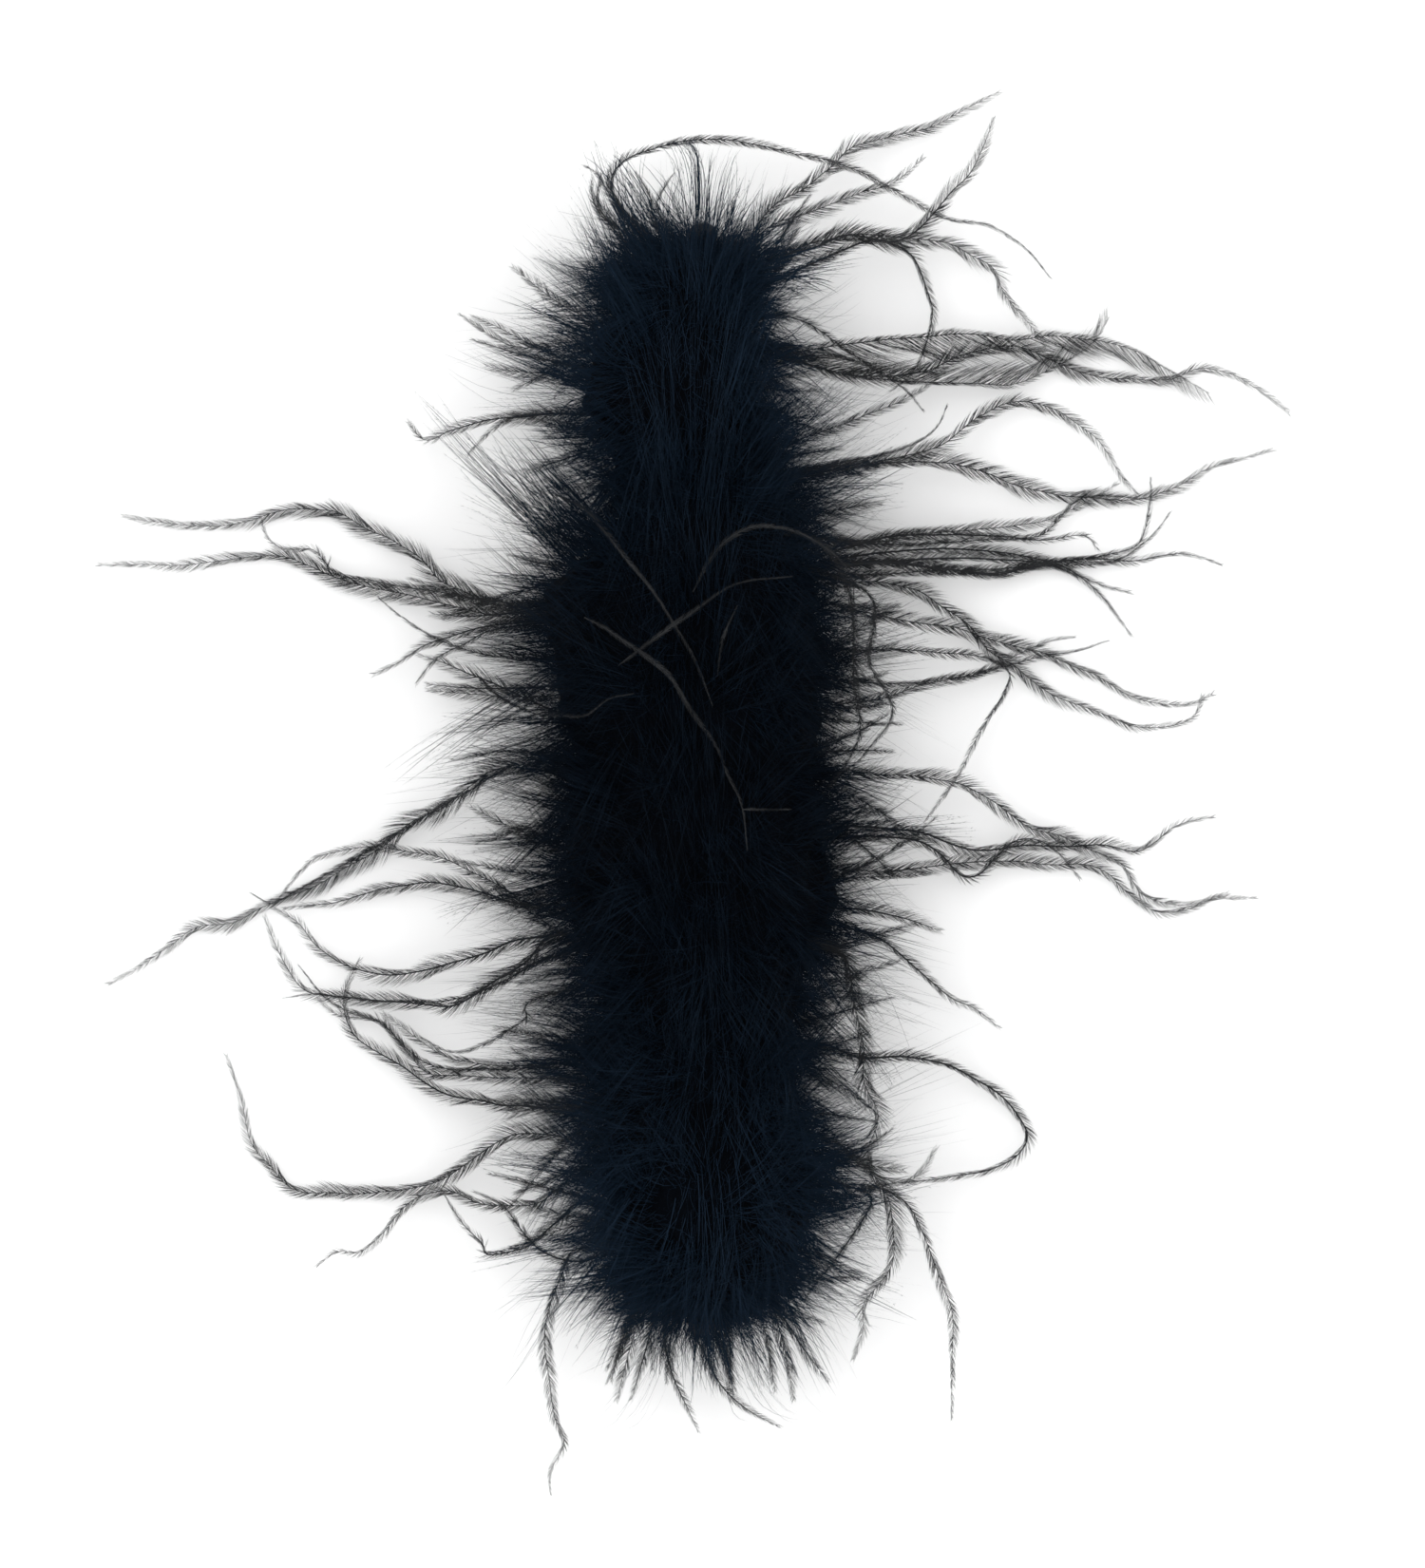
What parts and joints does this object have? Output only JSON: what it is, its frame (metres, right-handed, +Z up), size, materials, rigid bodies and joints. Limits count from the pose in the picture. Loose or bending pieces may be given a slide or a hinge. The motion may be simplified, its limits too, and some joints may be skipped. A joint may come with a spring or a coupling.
{
  "type": "feather boa",
  "caption": "Short black feather boa: marabou down round a twisted cord core, with long ostrich flues tied in on all sides, bending sideways along its length",
  "frame": {"origin": "on the surface the boa lies on, under the middle of its core", "axes": "+Y along the core towards the end with the arching flue, +X to the right seen from above, +Z up"},
  "size_m": [0.2502, 0.2954, 0.055],
  "materials": {
    "marabou": "soft black down with a faint cool sheen",
    "ostrich": "fine black flues, thin enough to look grey against white",
    "core_cord": "matte dyed cotton ply",
    "thread": "matte polyester sewing thread"
  },
  "bodies": {
    "segment_1": {"marabou_1": "marabou", "core_ply_a_1": "core_cord", "core_ply_b_1": "core_cord", "binding_thread_1": "thread", "whipping_bottom": "thread", "knot_bottom": "thread", "ostrich_bottom_right": "ostrich", "ostrich_bottom_straight": "ostrich", "ostrich_bottom_bent": "ostrich", "ostrich_bottom_left": "ostrich", "ostrich_lower_left_step": "ostrich"},
    "segment_2": {"marabou_2": "marabou", "core_ply_a_2": "core_cord", "core_ply_b_2": "core_cord", "binding_thread_2": "thread", "ostrich_lower_right_loop": "ostrich", "ostrich_lower_left_hook": "ostrich", "ostrich_lower_left_rise": "ostrich"},
    "segment_3": {"marabou_3": "marabou", "core_ply_a_3": "core_cord", "core_ply_b_3": "core_cord", "binding_thread_3": "thread", "ostrich_lower_right_short": "ostrich", "ostrich_left_net_low": "ostrich", "ostrich_left_net_high": "ostrich"},
    "segment_4": {"marabou_4": "marabou", "core_ply_a_4": "core_cord", "core_ply_b_4": "core_cord", "binding_thread_4": "thread", "ostrich_middle_right_fall": "ostrich", "ostrich_middle_right_wave": "ostrich", "ostrich_middle_left_long": "ostrich"},
    "segment_5": {"marabou_5": "marabou", "core_ply_a_5": "core_cord", "core_ply_b_5": "core_cord", "binding_thread_5": "thread", "ostrich_right_bundle_low": "ostrich", "ostrich_right_bundle_long": "ostrich", "ostrich_right_sweep": "ostrich", "ostrich_right_fall": "ostrich", "ostrich_upper_left_crest": "ostrich", "ostrich_upper_left_long": "ostrich"},
    "segment_6": {"marabou_6": "marabou", "core_ply_a_6": "core_cord", "core_ply_b_6": "core_cord", "binding_thread_6": "thread", "ostrich_upper_right_curl": "ostrich", "ostrich_upper_right_wave": "ostrich"},
    "segment_7": {"marabou_7": "marabou", "core_ply_a_7": "core_cord", "core_ply_b_7": "core_cord", "binding_thread_7": "thread", "whipping_top": "thread", "knot_top": "thread", "ostrich_top_arc": "ostrich", "ostrich_top_spray": "ostrich", "ostrich_top_hook": "ostrich", "ostrich_top_drop": "ostrich", "ostrich_upper_right_wide": "ostrich", "ostrich_upper_right_long": "ostrich"}
  },
  "joints": [
    {"name": "bend_4_5", "type": "hinge", "parent": "segment_4", "child": "segment_5", "pos_m": [0, 0.0165, 0.024], "axis": [0, 0, -1], "range_deg": [-18, 18]},
    {"name": "bend_5_6", "type": "hinge", "parent": "segment_5", "child": "segment_6", "pos_m": [0, 0.0495, 0.024], "axis": [0, 0, -1], "range_deg": [-18, 18]},
    {"name": "bend_6_7", "type": "hinge", "parent": "segment_6", "child": "segment_7", "pos_m": [0, 0.0825, 0.024], "axis": [0, 0, -1], "range_deg": [-18, 18]},
    {"name": "bend_3_4", "type": "hinge", "parent": "segment_4", "child": "segment_3", "pos_m": [0, -0.0165, 0.024], "axis": [0, 0, 1], "range_deg": [-18, 18]},
    {"name": "bend_2_3", "type": "hinge", "parent": "segment_3", "child": "segment_2", "pos_m": [0, -0.0495, 0.024], "axis": [0, 0, 1], "range_deg": [-18, 18]},
    {"name": "bend_1_2", "type": "hinge", "parent": "segment_2", "child": "segment_1", "pos_m": [0, -0.0825, 0.024], "axis": [0, 0, 1], "range_deg": [-18, 18]}
  ]
}
